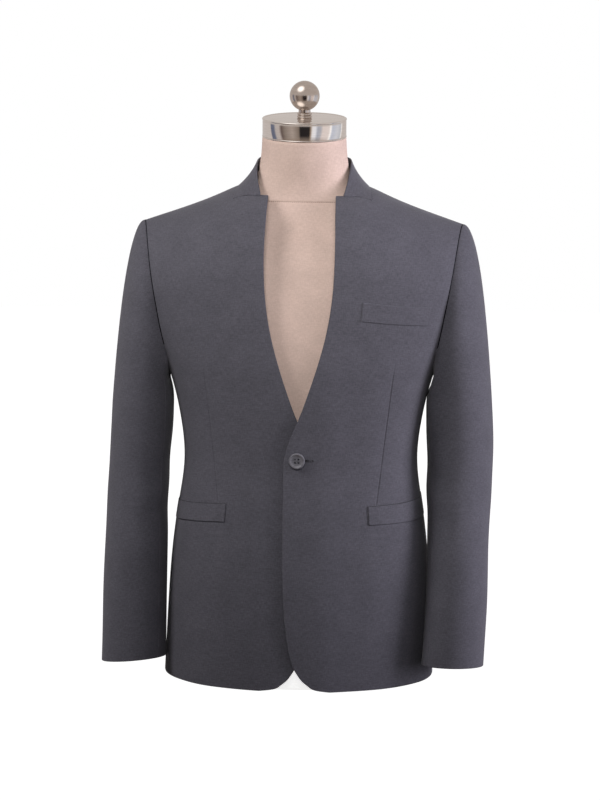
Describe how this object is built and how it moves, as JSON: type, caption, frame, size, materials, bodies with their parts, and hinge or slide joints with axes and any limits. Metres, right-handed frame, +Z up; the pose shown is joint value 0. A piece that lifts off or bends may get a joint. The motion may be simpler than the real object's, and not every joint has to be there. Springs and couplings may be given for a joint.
{
  "type": "stand collar suit jacket on a dress form",
  "caption": "Fitted suit jacket with a short standing collar, low V front, long sleeves and welt pockets, buttoned on a limbless dress form with a metal neck cap and ball finial.",
  "frame": {"origin": "middle of the flat underside of the dress form's plinth, on the surface that it stands on", "axes": "+Z up, -Y the way that the jacket's front faces, +X to the wearer's left"},
  "size_m": [0.557, 0.2746, 0.8561],
  "materials": {
    "suiting": "charcoal grey plain weave suiting, matt",
    "button_horn": "grey horn look, low sheen",
    "form_linen": "natural linen stretched over the form",
    "plinth_white": "white, matt",
    "cap_metal": "polished, slightly brushed"
  },
  "bodies": {
    "root": {"front_left": "suiting", "front_right": "suiting", "side_left": "suiting", "side_right": "suiting", "back_left": "suiting", "back_right": "suiting", "top_sleeve_left": "suiting", "top_sleeve_right": "suiting", "under_sleeve_left": "suiting", "under_sleeve_right": "suiting", "collar": "suiting", "chest_pocket": "suiting", "hip_pocket_left": "suiting", "hip_pocket_right": "suiting", "button": "button_horn", "form_torso": "form_linen", "form_plinth": "plinth_white", "form_neck_cap": "cap_metal", "form_finial": "cap_metal"}
  },
  "joints": []
}
